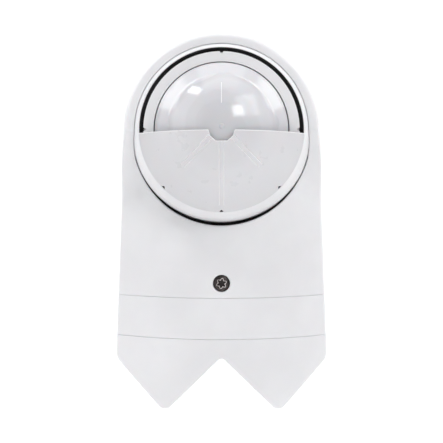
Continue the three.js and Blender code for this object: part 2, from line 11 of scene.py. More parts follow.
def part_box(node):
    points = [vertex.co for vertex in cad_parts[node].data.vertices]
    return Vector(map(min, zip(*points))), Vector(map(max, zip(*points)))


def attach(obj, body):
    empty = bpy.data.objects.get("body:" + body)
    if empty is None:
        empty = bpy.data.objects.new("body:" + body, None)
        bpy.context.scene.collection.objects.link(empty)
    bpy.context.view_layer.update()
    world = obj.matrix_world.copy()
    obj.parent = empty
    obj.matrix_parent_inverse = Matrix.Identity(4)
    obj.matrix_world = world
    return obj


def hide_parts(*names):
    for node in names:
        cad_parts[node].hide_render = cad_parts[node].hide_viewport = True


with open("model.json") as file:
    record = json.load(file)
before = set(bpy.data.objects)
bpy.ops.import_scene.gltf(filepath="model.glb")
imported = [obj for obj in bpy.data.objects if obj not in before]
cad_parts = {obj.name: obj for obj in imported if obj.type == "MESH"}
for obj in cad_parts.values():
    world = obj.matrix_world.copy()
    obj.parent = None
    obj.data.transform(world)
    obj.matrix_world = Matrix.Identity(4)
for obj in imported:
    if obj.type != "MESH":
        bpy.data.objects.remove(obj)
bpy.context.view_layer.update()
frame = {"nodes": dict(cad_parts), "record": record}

MM = 0.001

# ---------------------------------------------------------------- places and sizes, in millimetres
# Depths are measured from the wall towards the viewer, or forward from the ball's centre.


def sides_of(node):
    """The lowest and highest corners of a CAD node, in millimetres."""
    low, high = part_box(node)
    return low / MM, high / MM


def middle_of(node):
    """The x and z of a CAD node's middle, in millimetres."""
    low, high = sides_of(node)
    return (low.x + high.x) / 2, (low.z + high.z) / 2


HEAD_X = 0.0
HEAD_Z = round(middle_of("lens_ring")[1], 2)
HEAD_DEPTH = 38.0
COVER_HIGH = sides_of("front_cover")[1]
ARCH_R = COVER_HIGH.z - HEAD_Z
COVER_REAR = -COVER_HIGH.y
PLATE_LOW, PLATE_HIGH = sides_of("back_plate")
SEAL_LOW, SEAL_HIGH = sides_of("cover_seal")
RIM_FRONT = -SEAL_HIGH.y - 0.04

# The outline's corners: x, z and how far their rounding reaches along the sides.
CORNER = (44.4, -57.0, 2.4)
POINT = (23.6, -78.9, 3.6)
NOTCH = (0.0, -55.6, 2.0)
FRONT = 44.0
FRONT_R = 100.0
WALL = 2.6
PLATE = 3.0
UPPER_SEAM = -31.5
LOWER_SEAM = -48.4
SEAM_RISE = 0.9
SEAM_GAP = 0.07
LIP = 12.2
HOOD_ROOT = -9.0
SLOPE_LENGTH = 26.0
SLOPE_END = -2.4
HOOD_BLEND = 3.0
ARCH_BLEND = 2.6
BALL_R = 37.0
BALL_INNER = 34.8
LIP_SOCKET_R = 37.15
SOCKET_OUTER = 40.3
MOUTH_R = 36.5
MOUTH_DROP = 1.8
LIP_INNER = 35.15
SCREW_Z = -25.4

LENS_EDGE = 26.95
LENS_SEAM = (9.0, 17.5)
LENS_SEAM_HALF = 0.16
MASK_R = 32.2
MASK_BASE = 17.6
MASK_APEX = 31.7
MASK_SKIRT = 31.35
MASK_LIP_R = 32.95
MASK_LIP_REAR = 16.87
MASK_EDGE = -1.5
# The mask's double score lines: how far each reaches at its angle, half their spacing, width and depth.
SCORES = {-45: 21.0, 0: 30.0, 45: 21.0}
SCORE_START = 4
SCORE_HALF = 0.88
SCORE_WIDTH = 0.17
SCORE_DEPTH = 0.25
SHARP_EDGE = math.radians(32)


def arc(r, p0, p1, steps, centre=0.0):
    """Profile points on a circle about the turning axis, from depth p0 to depth p1."""
    a0 = math.asin(max(-1.0, min(1.0, (p0 - centre) / r)))
    a1 = math.asin(max(-1.0, min(1.0, (p1 - centre) / r)))
    angles = [a0 + (a1 - a0) * i / steps for i in range(steps + 1)]
    return [(r * math.cos(a), centre + r * math.sin(a)) for a in angles]


def dome(r, base, apex, steps):
    """A dome's profile from its base circle up to its apex on the axis."""
    rise = apex - base
    radius = (r * r + rise * rise) / (2 * rise)
    points = arc(radius, base, apex, steps, apex - radius)
    points[-1] = (0.0, apex)
    return points


def softened(profile, radius, steps=3, closed=True):
    """The profile with each corner sharper than 25 degrees rounded off."""
    points = [np.array(p, float) for p in profile]
    count = len(points)
    out = []
    for i, here in enumerate(points):
        if not closed and i in (0, count - 1):
            out.append(tuple(here))
            continue
        before = points[i - 1] - here
        after = points[(i + 1) % count] - here
        long_a, long_b = np.linalg.norm(before), np.linalg.norm(after)
        before, after = before / long_a, after / long_b
        opening = math.acos(max(-1.0, min(1.0, float(before @ after))))
        if opening > math.radians(155) or opening < 1e-3:
            out.append(tuple(here))
            continue
        trim = min(radius / math.tan(opening / 2), long_a * 0.45, long_b * 0.45)
        bend = trim * math.tan(opening / 2)
        middle = before + after
        middle = middle / np.linalg.norm(middle)
        centre = here + middle * bend / math.sin(opening / 2)
        start, end = here + before * trim - centre, here + after * trim - centre
        for k in range(steps + 1):
            mix = start + (end - start) * k / steps
            out.append(tuple(centre + mix / np.linalg.norm(mix) * bend))
    return out


# ---------------------------------------------------------------- making solids


def new_piece(name, points, faces):
    """A mesh object from points in millimetres, with its faces pointing out."""
    mesh = bpy.data.meshes.new(name)
    mesh.from_pydata([(x * MM, y * MM, z * MM) for x, y, z in points], [], faces)
    bm = bmesh.new()
    bm.from_mesh(mesh)
    bmesh.ops.recalc_face_normals(bm, faces=bm.faces)
    bm.to_mesh(mesh)
    bm.free()
    piece = bpy.data.objects.new(name, mesh)
    bpy.context.scene.collection.objects.link(piece)
    return piece


def turned(name, profile, sides=160, x=0.0, z=HEAD_Z, depth=HEAD_DEPTH):
    """A solid of revolution about the depth axis from (radius, depth) pairs."""
    on_axis = [abs(r) < 1e-9 for r, _ in profile]
    points, rings = [], []
    for (r, p), axis in zip(profile, on_axis):
        start = len(points)
        if axis:
            points.append((x, -(depth + p), z))
            rings.append([start] * sides)
            continue
        for k in range(sides):
            a = 2 * math.pi * k / sides
            points.append((x + r * math.cos(a), -(depth + p), z + r * math.sin(a)))
        rings.append(list(range(start, start + sides)))
    pairs = list(zip(rings, rings[1:]))
    if not (on_axis[0] and on_axis[-1]):
        pairs.append((rings[-1], rings[0]))
    faces = []
    for low, high in pairs:
        for k in range(sides):
            n = (k + 1) % sides
            corners = [low[k], low[n], high[n], high[k]]
            face = list(dict.fromkeys(corners))
            if len(face) > 2:
                faces.append(face)
    return new_piece(name, points, faces)


def prism(name, outline, p0, p1, x=0.0, z=0.0):
    """A closed outline of (x, z) points, from depth p0 to depth p1."""
    count = len(outline)
    points = [(x + a, -p, z + b) for p in (p0, p1) for a, b in outline]
    faces = [list(range(count)), list(range(2 * count - 1, count - 1, -1))]
    for k in range(count):
        n = (k + 1) % count
        faces.append([k, n, n + count, k + count])
    return new_piece(name, points, faces)


def circle(r, sides=64):
    angles = [2 * math.pi * k / sides for k in range(sides)]
    return [(r * math.cos(a), r * math.sin(a)) for a in angles]


def bar(r, p0, p1, x=0.0, z=0.0, sides=64):
    return prism("tool", circle(r, sides), p0, p1, x, z)


def block(x0, x1, p0, p1, z0, z1):
    return prism("tool", [(x0, z0), (x1, z0), (x1, z1), (x0, z1)], p0, p1)


def turn_about_head(piece, degrees):
    """Turns a piece's mesh about the depth axis through the ball's centre, clockwise from the front."""
    a = math.radians(degrees)
    centre = Vector((HEAD_X, 0.0, HEAD_Z)) * MM
    for v in piece.data.vertices:
        dx, dz = v.co.x - centre.x, v.co.z - centre.z
        v.co.x = centre.x + dx * math.cos(a) + dz * math.sin(a)
        v.co.z = centre.z - dx * math.sin(a) + dz * math.cos(a)
    return piece


def combined(piece, operation, tools):
    """The piece after a boolean with each tool in turn. The tools are used up."""
    for tool in tools:
        step = piece.modifiers.new("step", "BOOLEAN")
        step.operation = operation
        step.solver = "MANIFOLD"
        step.object = tool
    made = bpy.context.evaluated_depsgraph_get()
    mesh = bpy.data.meshes.new_from_object(piece.evaluated_get(made))
    piece.modifiers.clear()
    piece.data = mesh
    for tool in tools:
        bpy.data.objects.remove(tool)
    return piece


def cut(piece, *tools):
    return combined(piece, "DIFFERENCE", tools)


def joined(piece, *tools):
    return combined(piece, "UNION", tools)


def kept(piece, *tools):
    return combined(piece, "INTERSECT", tools)


# ---------------------------------------------------------------- the housing's outline


def fillet(a, b, c, radius):
    """The rounded corner at b between a and c."""
    steps = 10
    a, b, c = (np.array(v, float) for v in (a, b, c))
    u = (a - b) / np.linalg.norm(a - b)
    v = (c - b) / np.linalg.norm(c - b)
    half = math.acos(float(u @ v)) / 2
    middle = (u + v) / np.linalg.norm(u + v)
    centre = b + middle * radius / math.sin(half)
    start, end = b + u * radius / math.tan(half) - centre, b + v * radius / math.tan(half) - centre
    out = []
    for k in range(steps + 1):
        mix = start + (end - start) * k / steps
        out.append(centre + mix / np.linalg.norm(mix) * radius)
    return out


TO_CORNER = (CORNER[0], CORNER[1] - HEAD_Z)
TANGENT = math.atan2(TO_CORNER[1], TO_CORNER[0]) + math.acos(ARCH_R / math.hypot(*TO_CORNER))


def outline(inset=0.0, spacing=1.2):
    """The housing's outline, moved in by inset, as (x, z) points in steps of about the spacing."""
    start = np.array([ARCH_R * math.cos(TANGENT), HEAD_Z + ARCH_R * math.sin(TANGENT)])
    right = [start, np.array(CORNER[:2]), np.array(POINT[:2]), np.array(NOTCH[:2])]
    left = [v * (-1, 1) for v in right[:3]]
    path = right + left[::-1]
    moved, radii = [], []
    for k in range(1, len(path) - 1):
        before = path[k] - path[k - 1]
        after = path[k + 1] - path[k]
        before, after = before / np.linalg.norm(before), after / np.linalg.norm(after)
        inward_a, inward_b = np.array([before[1], -before[0]]), np.array([after[1], -after[0]])
        moved.append(path[k] + (inward_a + inward_b) * inset / (1 + float(inward_a @ inward_b)))
        turning = math.acos(float(before @ after))
        length = (CORNER[2], POINT[2], NOTCH[2], POINT[2], CORNER[2])[k - 1]
        radius = length / math.tan(turning / 2)
        radii.append(radius + inset if k == 3 else max(radius - inset, 0.3))
    r = ARCH_R - inset
    ends = [np.array([sign * r * math.cos(TANGENT), HEAD_Z + r * math.sin(TANGENT)]) for sign in (1, -1)]
    bends = [ends[0]] + moved + [ends[1]]
    corners = [fillet(bends[k], bends[k + 1], bends[k + 2], radii[k]) for k in range(len(moved))]
    runs = [[ends[0]]] + corners + [[ends[1]]]
    points = []
    for run, following in zip(runs, runs[1:]):
        points += run
        gap = following[0] - run[-1]
        steps = max(int(np.linalg.norm(gap) / spacing), 1)
        points += [run[-1] + gap * k / steps for k in range(1, steps)]
    points.append(ends[1])
    steps = int(math.pi * r / spacing)
    a0, a1 = math.pi - TANGENT, TANGENT
    for k in range(1, steps):
        a = a0 + (a1 - a0) * k / steps
        points.append(np.array([r * math.cos(a), HEAD_Z + r * math.sin(a)]))
    return np.array(points)


OUTLINE = outline(0.0, 0.6)


def crossings(points, loop):
    """Whether each point lies inside the closed loop."""
    inside = np.zeros(len(points), bool)
    ax, az = loop[:, 0], loop[:, 1]
    bx, bz = np.roll(ax, -1), np.roll(az, -1)
    for start in range(0, len(points), 4000):
        x = points[start:start + 4000, 0][:, None]
        z = points[start:start + 4000, 1][:, None]
        spans = (az > z) != (bz > z)
        rise = np.where(bz == az, 1e-12, bz - az)
        hits = spans & (x < (bx - ax) * (z - az) / rise + ax)
        inside[start:start + 4000] = hits.sum(1) % 2 == 1
    return inside


def distance_to(points, loop):
    """How far each point is from the closed loop."""
    a = loop
    ab = np.roll(loop, -1, axis=0) - loop
    length = (ab ** 2).sum(1)
    out = np.zeros(len(points))
    for start in range(0, len(points), 4000):
        p = points[start:start + 4000][:, None, :]
        along = np.clip(((p - a) * ab).sum(2) / length, 0, 1)
        near = a + along[:, :, None] * ab
        out[start:start + 4000] = np.sqrt(((p - near) ** 2).sum(2).min(1))
    return out


# ---------------------------------------------------------------- the housing's front surface


def eased(value, low, high):
    t = np.clip((value - low) / (high - low), 0, 1)
    return t * t * (3 - 2 * t)


def lower_of(a, b, blend):
    near = np.maximum(blend - np.abs(a - b), 0) / blend
    return np.minimum(a, b) - near * near * blend / 4


def higher_of(a, b, blend):
    return -lower_of(-a, -b, blend)


def rounding(distance, radius):
    """How far a rounded edge of the given radius drops at each distance from it."""
    rest = np.clip(radius - distance, 0, radius)
    return radius - np.sqrt(np.maximum(radius * radius - rest * rest, 0))


def mouth_radius(angle):
    """The radius of the ball's opening about the ball's centre, in each direction."""
    sine, cosine = np.sin(angle), np.cos(angle)
    lower = -MOUTH_DROP * sine + np.sqrt(MOUTH_R ** 2 - (MOUTH_DROP * cosine) ** 2)
    return LIP_INNER + (lower - LIP_INNER) * eased(-sine, -0.05, 0.35)


def bow(x, inset=0.0):
    """The bowed front's depth from the wall."""
    return FRONT - FRONT_R + np.sqrt((FRONT_R - inset) ** 2 - x * x)


def seam_height(seam, x):
    """A seam's height across the housing. It sags a little at mid-width."""
    return seam + SEAM_RISE * (x / 44) ** 2


def front_depth(points):
    """The depth from the wall of the housing's outer surface at each (x, z) point."""
    x, z = points[:, 0], points[:, 1] - HEAD_Z
    lip = HEAD_DEPTH + LIP + np.minimum(z, 0) * (LIP - SLOPE_END) / SLOPE_LENGTH
    # Above the ball's centre the bowed front drops away, and the hood's lip is left.
    top = higher_of(bow(x) - 40 * eased(z, 0, 12), lip, HOOD_BLEND)
    inward = distance_to(points, OUTLINE)
    # The arch is round from the side, and the rest has plain sides with eased edges.
    round_side = HEAD_DEPTH + np.sqrt(np.maximum(2 * ARCH_R * inward - inward ** 2, 0))
    arch = lower_of(round_side, top, ARCH_BLEND)
    plain = top - rounding(inward, 1.1)
    share = eased(z, -SLOPE_LENGTH, -4)
    depth = share * arch + (1 - share) * plain
    angle = np.arctan2(z, x)
    outside = np.hypot(x, z) - mouth_radius(angle)
    softness = 0.7 - 0.4 * eased(np.sin(angle), -0.35, 0.05)
    depth = depth - rounding(np.maximum(outside, 0), softness)
    for seam in (UPPER_SEAM, LOWER_SEAM):
        away = np.abs(points[:, 1] - seam_height(seam, x)) - SEAM_GAP / 2
        depth = depth - rounding(np.maximum(away, 0), 0.2)
    return depth


def relief(name, loops, samples, depth_at, rear_at):
    """A solid between two modelled faces, inside the first loop and outside the others."""
    points = np.vstack(loops + [samples])
    edges, first = [], 0
    for loop in loops:
        count = len(loop)
        edges += [(first + k, first + (k + 1) % count) for k in range(count)]
        first += count
    found = delaunay_2d_cdt([Vector(p) for p in points], edges, [], 0, 1e-6)
    flat = np.array([tuple(v) for v in found[0]])
    faces = np.array(found[2])
    middles = flat[faces].mean(1)
    inside = crossings(middles, loops[0])
    for hole in loops[1:]:
        inside &= ~crossings(middles, hole)
    faces = faces[inside]
    a, b, c = flat[faces[:, 0]], flat[faces[:, 1]], flat[faces[:, 2]]
    area = (b[:, 0] - a[:, 0]) * (c[:, 1] - a[:, 1]) - (c[:, 0] - a[:, 0]) * (b[:, 1] - a[:, 1])
    faces[area < 0] = faces[area < 0][:, ::-1]
    count = len(flat)
    solid = [(x, -d, z) for face in (depth_at, rear_at) for (x, z), d in zip(flat, face(flat))]
    quads = {}
    for tri in faces:
        for k in range(3):
            edge = (int(tri[k]), int(tri[(k + 1) % 3]))
            if (edge[1], edge[0]) in quads:
                del quads[(edge[1], edge[0])]
            else:
                quads[edge] = [edge[1], edge[0], edge[0] + count, edge[1] + count]
    shape = [list(map(int, t)) for t in faces] + [[int(i) + count for i in t[::-1]] for t in faces]
    piece = new_piece(name, solid, shape + list(quads.values()))
    loose_points(piece)
    return piece


def flat_at(depth):
    return lambda points: np.full(len(points), depth)


def loose_points(piece):
    """Removes points that no face uses."""
    bm = bmesh.new()
    bm.from_mesh(piece.data)
    bmesh.ops.delete(bm, geom=[v for v in bm.verts if not v.link_faces], context="VERTS")
    bm.to_mesh(piece.data)
    bm.free()


# How far rows of points lie from the outline, the ball's opening and the seams, and the grid's step.
RING_STEPS = [0.004, 0.02, 0.05, 0.1, 0.17, 0.26, 0.38, 0.52, 0.7, 0.92, 1.15, 1.4, 1.7, 2.1, 2.6, 3.3]
MOUTH_STEPS = [0.03, 0.09, 0.18, 0.3, 0.45, 0.65, 0.9, 1.2, 1.6, 2.2]
SEAM_STEPS = [0.015, 0.045, 0.09, 0.14, 0.2, 0.5]
GRID = 1.5


def half_width(z):
    """The housing's half width at a height below the arch."""
    right = OUTLINE[(OUTLINE[:, 0] > 30) & (OUTLINE[:, 1] < HEAD_Z) & (OUTLINE[:, 1] > POINT[1] + 22)]
    order = np.argsort(right[:, 1])
    return float(np.interp(z, right[order, 1], right[order, 0]))


def seam_row(seam, offset):
    """Points along a seam, offset up from it, closer together near the housing's sides."""
    half = half_width(seam + SEAM_RISE + offset)
    near = [half - step for step in [0.0] + RING_STEPS]
    inner = list(np.arange(0, half - RING_STEPS[-1] - 0.5, GRID))
    xs = np.array(sorted(set(inner + near)))
    xs = np.concatenate([-xs[:0:-1], xs])
    return np.stack([xs, seam_height(seam, xs) + offset], 1)


def beyond_mouth(points):
    """How far each point is outside the ball's opening."""
    x, z = points[:, 0], points[:, 1] - HEAD_Z
    return np.hypot(x, z) - mouth_radius(np.arctan2(z, x))


def front_piece(name, low=None, high=None):
    """The part of the housing's front between two seams, solid down to the covers' rear edge."""
    half_gap = SEAM_GAP / 2

    def within(points, margin):
        keep = np.ones(len(points), bool)
        if low is not None:
            keep &= points[:, 1] > seam_height(low, points[:, 0]) + half_gap + margin
        if high is not None:
            keep &= points[:, 1] < seam_height(high, points[:, 0]) - half_gap - margin
        return points[keep]

    ring = within(outline(0.0, 1.0), 0.05)
    bottom = [] if low is None else [seam_row(low, half_gap)[::-1]]
    top = [] if high is None else [seam_row(high, -half_gap)]
    if bottom and top:
        right, left = ring[ring[:, 0] > 0], ring[ring[:, 0] < 0]
        sides = [right[np.argsort(-right[:, 1])], left[np.argsort(left[:, 1])]]
        loop = np.vstack(top + sides[:1] + bottom + sides[1:])
    else:
        steps = np.hypot(*(ring - np.roll(ring, 1, axis=0)).T)
        loop = np.vstack([np.roll(ring, -int(np.argmax(steps)), axis=0)] + bottom + top)
    loops = [loop]
    samples = [outline(step, 1.0) for step in RING_STEPS]
    for seam, upward in ((low, 1), (high, -1)):
        if seam is not None:
            samples += [seam_row(seam, upward * (half_gap + step)) for step in SEAM_STEPS]
    rows = []
    across = np.arange(-45, 45, GRID)
    for i, z in enumerate(np.arange(PLATE_LOW.z, PLATE_HIGH.z, GRID * 0.87)):
        rows.append(np.stack([across + GRID / 2 * (i % 2), np.full(len(across), z)], 1))
    grid = np.vstack(rows)
    grid = grid[crossings(grid, OUTLINE)]
    grid = grid[distance_to(grid, OUTLINE) > RING_STEPS[-1] + 0.6]
    grid = within(grid, SEAM_STEPS[-1] + 0.5)
    rings = np.vstack([within(part, 0.01) for part in samples])
    rings = rings[crossings(rings, OUTLINE)]
    if high is None:
        angles = np.linspace(-math.pi, math.pi, 360, endpoint=False)
        radii = mouth_radius(angles)
        around = [np.stack([(radii + s) * np.cos(angles), HEAD_Z + (radii + s) * np.sin(angles)], 1)
                  for s in [0.0] + MOUTH_STEPS]
        loops.append(around[0])
        grid = grid[beyond_mouth(grid) > MOUTH_STEPS[-1] + 0.6]
        rings = rings[beyond_mouth(rings) > 0.02]
        rings = np.vstack([rings] + [part[crossings(part, OUTLINE)] for part in around[1:]])
    return relief(name, loops, np.vstack([rings, grid]), front_depth, flat_at(COVER_REAR))


def inner_solid(inset, rear, z0=-200.0, z1=200.0):
    """Everything inside the housing's front, at the given distance from its outside."""
    loop = outline(inset, 1.0)
    rows = np.array([(x, z) for z in np.arange(-70, 75, 6.0) for x in np.arange(-42, 43, 3.0)])
    rows = rows[crossings(rows, loop)]
    rows = rows[distance_to(rows, loop) > 1.2]
    made = relief("tool", [loop], rows, lambda p: bow(p[:, 0], inset), flat_at(rear))
    return kept(made, block(-60, 60, -60, 120, z0, z1))


# ---------------------------------------------------------------- materials


class Finish:
    """A node material built up step by step."""

    def __init__(self, name, colour, roughness, metallic=0.0):
        self.material = bpy.data.materials.new(name)
        self.material.use_nodes = True
        self.nodes = self.material.node_tree.nodes
        self.links = self.material.node_tree.links
        self.shader = self.nodes["Principled BSDF"]
        self.shader.inputs["Base Color"].default_value = (*colour, 1)
        self.shader.inputs["Roughness"].default_value = roughness
        self.shader.inputs["Metallic"].default_value = metallic
        self.place = self.nodes.new("ShaderNodeTexCoord").outputs["Object"]
        self.normal = None

    def set(self, **values):
        for socket, value in values.items():
            self.shader.inputs[socket.replace("_", " ")].default_value = value
        return self

    def noise(self, scale, detail=3.0, roughness=0.55, stretch=(1, 1, 1)):
        mapping = self.nodes.new("ShaderNodeMapping")
        mapping.inputs["Scale"].default_value = stretch
        self.links.new(self.place, mapping.inputs["Vector"])
        node = self.nodes.new("ShaderNodeTexNoise")
        node.inputs["Scale"].default_value = scale
        node.inputs["Detail"].default_value = detail
        node.inputs["Roughness"].default_value = roughness
        self.links.new(mapping.outputs[0], node.inputs["Vector"])
        return node.outputs["Fac"]

    def spread(self, value, low, high, start=0.3, end=0.7):
        """The value, mapped from start and end to low and high."""
        node = self.nodes.new("ShaderNodeMapRange")
        node.inputs["From Min"].default_value = start
        node.inputs["From Max"].default_value = end
        node.inputs["To Min"].default_value = low
        node.inputs["To Max"].default_value = high
        self.links.new(value, node.inputs["Value"])
        return node.outputs["Result"]

    def tint(self, value, dark, light):
        """The base colour wanders between two colours."""
        ramp = self.nodes.new("ShaderNodeValToRGB")
        for element, position, colour in zip(ramp.color_ramp.elements, (0.35, 0.65), (dark, light)):
            element.position = position
            element.color = (*colour, 1)
        self.links.new(value, ramp.inputs["Fac"])
        self.links.new(ramp.outputs["Color"], self.shader.inputs["Base Color"])
        return self

    def from_head_axis(self, value, wander):
        """The distance in millimetres from the ball's axis at rest, wandering with a value about 0.5."""
        flat = self.nodes.new("ShaderNodeVectorMath")
        flat.operation = "MULTIPLY_ADD"
        self.links.new(self.place, flat.inputs[0])
        flat.inputs[1].default_value = (1 / MM, 0, 1 / MM)
        flat.inputs[2].default_value = (0, 0, -HEAD_Z)
        length = self.nodes.new("ShaderNodeVectorMath")
        length.operation = "LENGTH"
        self.links.new(flat.outputs["Vector"], length.inputs[0])
        total = self.nodes.new("ShaderNodeMath")
        self.links.new(length.outputs["Value"], total.inputs[0])
        self.links.new(self.spread(value, -wander, wander), total.inputs[1])
        return total.outputs["Value"]

    def bands(self, reach, stops):
        """The base colour at each distance from the axis, from (distance, colour) stops."""
        longest = stops[-1][0]
        ramp = self.nodes.new("ShaderNodeValToRGB")
        elements = ramp.color_ramp.elements
        while len(elements) < len(stops):
            elements.new(1.0)
        for element, (distance, colour) in zip(elements, stops):
            element.position = distance / longest
            element.color = (*colour, 1)
        self.links.new(self.spread(reach, 0, 1, 0, longest), ramp.inputs["Fac"])
        self.links.new(ramp.outputs["Color"], self.shader.inputs["Base Color"])
        return self

    def vary(self, socket, value, low, high):
        """A number on the shader wanders between two values."""
        self.links.new(self.spread(value, low, high), self.shader.inputs[socket])
        return self

    def bump(self, value, height, strength=1.0):
        """Relief of the given height in millimetres."""
        node = self.nodes.new("ShaderNodeBump")
        node.inputs["Distance"].default_value = height * MM
        node.inputs["Strength"].default_value = strength
        self.links.new(value, node.inputs["Height"])
        if self.normal is not None:
            self.links.new(self.normal, node.inputs["Normal"])
        self.normal = node.outputs["Normal"]
        self.links.new(self.normal, self.shader.inputs["Normal"])
        return self


def moulded(name, colour, roughness, grain=0.004, **values):
    """Injection-moulded plastic: a faint satin grain, slow waves and small changes of tone and gloss."""
    finish = Finish(name, colour, roughness).set(**values)
    dark = tuple(c * 0.965 for c in colour)
    light = tuple(min(c * 1.02, 1.0) for c in colour)
    finish.tint(finish.noise(38, 4), dark, light)
    finish.vary("Roughness", finish.noise(160, 5), roughness * 0.88, roughness * 1.14)
    finish.bump(finish.noise(45, 2), grain * 6, 0.25)
    finish.bump(finish.noise(2600, 3), grain, 0.5)
    return finish


def shell_plastic(name, colour, roughness):
    """Moulded plastic that light enters a little."""
    finish = moulded(name, colour, roughness, IOR=1.49)
    return finish.set(Subsurface_Weight=0.06, Subsurface_Scale=0.002).material


def lens_plastic():
    """Milky plastic with painted light and shade in bands like its inner rings: greyer where the hollow
    behind it is deeper, lighter on the flange.
    """
    finish = Finish("lens_plastic", (0.68, 0.68, 0.7), 0.17).set(IOR=1.53)
    finish.set(Subsurface_Weight=0.2, Subsurface_Scale=0.002)
    reach = finish.from_head_axis(finish.noise(70, 2), 1.6)
    # Painted light and shade by distance from the axis: darker in the middle, at the step and at the
    # outer edge, lighter on the flange.
    painted_tones = [(0, 0.61), (9, 0.615), (9.8, 0.635), (14, 0.64), (15, 0.665), (18.8, 0.665), (19.5, 0.64),
             (21.2, 0.60), (21.6, 0.655), (25.5, 0.68), (26.5, 0.6)]
    finish.bands(reach, [(r, (tone, tone * 0.997, min(tone * 1.035, 0.95))) for r, tone in painted_tones])
    finish.vary("Roughness", finish.noise(160, 5), 0.1, 0.14)
    return finish.bump(finish.noise(60, 2), 0.02, 0.25).material


def mask_plastic():
    """Frosted plastic with painted shade: the lens's round shape showing faintly through it is painted
    into its colour, darker towards the rim.
    """
    finish = Finish("mask_plastic", (0.74, 0.74, 0.76), 0.3).set(IOR=1.49)
    finish.set(Subsurface_Weight=0.15, Subsurface_Scale=0.001)
    reach = finish.from_head_axis(finish.noise(60, 2), 1.2)
    # Painted shade by distance from the axis: the lens seen through the mask, darker towards the rim.
    painted_tones = [(0, 0.685), (14, 0.69), (18, 0.71), (21, 0.70), (23, 0.705), (33, 0.66)]
    finish.bands(reach, [(r, (tone, tone * 0.997, tone * 1.025)) for r, tone in painted_tones])
    finish.vary("Roughness", finish.noise(160, 5), 0.26, 0.36)
    return finish.bump(finish.noise(2200, 3), 0.004, 0.4).material


def seal_rubber():
    finish = Finish("seal_rubber", (0.012, 0.012, 0.013), 0.62)
    finish.tint(finish.noise(90, 4), (0.009, 0.009, 0.010), (0.020, 0.020, 0.022))
    finish.vary("Roughness", finish.noise(400, 4), 0.5, 0.75)
    return finish.bump(finish.noise(1500, 5), 0.02, 0.6).material


def black_plastic(name, colour):
    finish = Finish(name, colour, 0.45)
    finish.tint(finish.noise(60, 4), tuple(c * 0.8 for c in colour), tuple(c * 1.3 for c in colour))
    finish.vary("Roughness", finish.noise(300, 4), 0.36, 0.56)
    return finish.bump(finish.noise(1800, 3), 0.01, 0.5).material


def coloured_plastic(name, colour, roughness=0.4):
    return moulded(name, colour, roughness, 0.006).material


def steel(name, colour, roughness, scratch=0.004, metallic=1.0):
    """Metal with fine turning marks and uneven polish."""
    finish = Finish(name, colour, roughness, metallic)
    dark = tuple(c * 0.75 for c in colour)
    light = tuple(min(c * 1.2, 1) for c in colour)
    finish.tint(finish.noise(350, 5), dark, light)
    finish.vary("Roughness", finish.noise(900, 6), roughness * 0.75, roughness * 1.35)
    return finish.bump(finish.noise(2400, 4, 0.6, (1, 1, 6)), scratch, 0.7).material


def circuit_board():
    """Solder mask over faint tracks."""
    finish = Finish("circuit_board", (0.02, 0.16, 0.06), 0.3)
    brick = finish.nodes.new("ShaderNodeTexBrick")
    brick.inputs["Scale"].default_value = 210
    brick.inputs["Mortar Size"].default_value = 0.03
    brick.inputs["Color1"].default_value = (0.015, 0.13, 0.05, 1)
    brick.inputs["Color2"].default_value = (0.02, 0.17, 0.065, 1)
    brick.inputs["Mortar"].default_value = (0.04, 0.26, 0.1, 1)
    turn = finish.nodes.new("ShaderNodeMapping")
    turn.inputs["Rotation"].default_value = (math.pi / 2, 0, 0)
    finish.links.new(finish.place, turn.inputs["Vector"])
    finish.links.new(turn.outputs[0], brick.inputs["Vector"])
    finish.links.new(brick.outputs["Color"], finish.shader.inputs["Base Color"])
    finish.vary("Roughness", finish.noise(500, 4), 0.22, 0.42)
    return finish.bump(brick.outputs["Fac"], 0.03, 0.6).material


def sensor_window():
    finish = Finish("window", (0.015, 0.012, 0.02), 0.12)
    finish.tint(finish.noise(800, 2), (0.01, 0.008, 0.015), (0.03, 0.024, 0.04))
    return finish.bump(finish.noise(1200, 2), 0.002, 0.4).material


MATERIALS = {
    "housing_plastic": shell_plastic("housing_plastic", (0.80, 0.80, 0.815), 0.34),
    "head_plastic": shell_plastic("head_plastic", (0.80, 0.80, 0.812), 0.32),
    "lens_plastic": lens_plastic(),
    "mask_plastic": mask_plastic(),
    # A lighter plastic that paints highlights on the lens's seam ridge, the mask's score lines and its
    # cut edge.
    "highlight_painted_plastic": moulded("highlight_painted_plastic", (0.88, 0.88, 0.89), 0.3, 0.003).material,
    "seal_rubber": seal_rubber(),
    "joint_plastic": black_plastic("joint_plastic", (0.022, 0.022, 0.024)),
    "block_plastic": black_plastic("block_plastic", (0.03, 0.032, 0.034)),
    "capacitor_plastic": black_plastic("capacitor_plastic", (0.02, 0.022, 0.03)),
    "screw_steel": steel("screw_steel", (0.62, 0.61, 0.6), 0.28),
    "sensor_metal": steel("sensor_metal", (0.75, 0.72, 0.62), 0.24),
    "dark_steel": steel("dark_steel", (0.075, 0.066, 0.064), 0.36, 0.006),
    # A lighter steel that paints a glint on the screw's recess.
    "glint_painted_steel": steel("glint_painted_steel", (0.86, 0.78, 0.76), 0.45, 0.006, metallic=0.4),
    "board": circuit_board(),
    "relay_plastic": coloured_plastic("relay_plastic", (0.03, 0.10, 0.42)),
    "adjuster_plastic": coloured_plastic("adjuster_plastic", (0.05, 0.16, 0.5)),
    "dial_plastic": coloured_plastic("dial_plastic", (0.85, 0.33, 0.05)),
    "indicator_plastic": coloured_plastic("indicator_plastic", (0.65, 0.03, 0.03), 0.15),
    "window": sensor_window(),
    "lead_sleeve": coloured_plastic("lead_sleeve", (0.72, 0.72, 0.72), 0.5),
}


